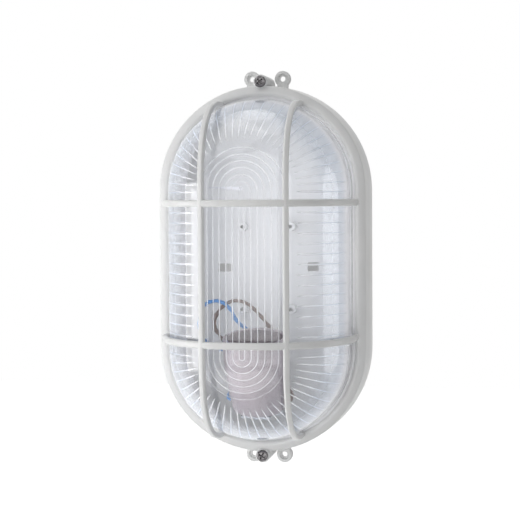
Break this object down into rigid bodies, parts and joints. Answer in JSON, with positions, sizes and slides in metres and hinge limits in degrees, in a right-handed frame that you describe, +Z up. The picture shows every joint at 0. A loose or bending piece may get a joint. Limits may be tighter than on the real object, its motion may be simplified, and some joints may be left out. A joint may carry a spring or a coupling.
{
  "type": "bulkhead light",
  "caption": "Oval wall-mounted bulkhead light with a moulded tray, ribbed glass bowl, barred guard and a screw-in lampholder.",
  "frame": {"origin": "middle of the housing's back face, on the wall", "axes": "+Z up along the long axis, +Y into the wall, so the front faces -Y, and +X to the right of someone who looks at the front"},
  "size_m": [0.1492, 0.1055, 0.281],
  "materials": {
    "white_moulding": "satin white thermoplastic moulding",
    "clear_glass": "clear pressed glass with fine ribs",
    "grey_rubber": "matte dark grey rubber",
    "zinc_steel": "zinc plated steel",
    "dark_steel": "dark oiled steel screw",
    "brass": "plain brass",
    "porcelain": "glazed off-white porcelain",
    "aluminium": "rolled aluminium sheet",
    "polyamide": "natural polyamide",
    "blue_pvc": "blue wire sheath",
    "brown_pvc": "brown wire sheath"
  },
  "bodies": {
    "root": {"base_housing": "white_moulding", "guard_frame": "white_moulding", "glass_bowl": "clear_glass", "bowl_gasket": "grey_rubber", "cover_screw_top": "dark_steel", "cover_screw_bottom": "dark_steel", "screw_insert_top": "brass", "screw_insert_bottom": "brass", "lampholder_body": "porcelain", "lampholder_shell": "aluminium", "lampholder_centre_contact": "brass", "lampholder_terminal_live": "brass", "lampholder_terminal_neutral": "brass", "terminal_screw_live": "brass", "terminal_screw_neutral": "brass", "lampholder_bracket": "zinc_steel", "bracket_screw_right": "zinc_steel", "bracket_screw_left": "zinc_steel", "holder_screw_rear": "zinc_steel", "holder_screw_front": "zinc_steel", "terminal_block_body": "polyamide", "terminal_block_screw": "zinc_steel", "terminal_sleeve_live": "brass", "terminal_sleeve_neutral": "brass", "clamp_screw_live_upper": "zinc_steel", "clamp_screw_live_lower": "zinc_steel", "clamp_screw_neutral_upper": "zinc_steel", "clamp_screw_neutral_lower": "zinc_steel", "cable_grommet": "grey_rubber", "wire_neutral": "blue_pvc", "wire_live": "brown_pvc"}
  },
  "joints": []
}
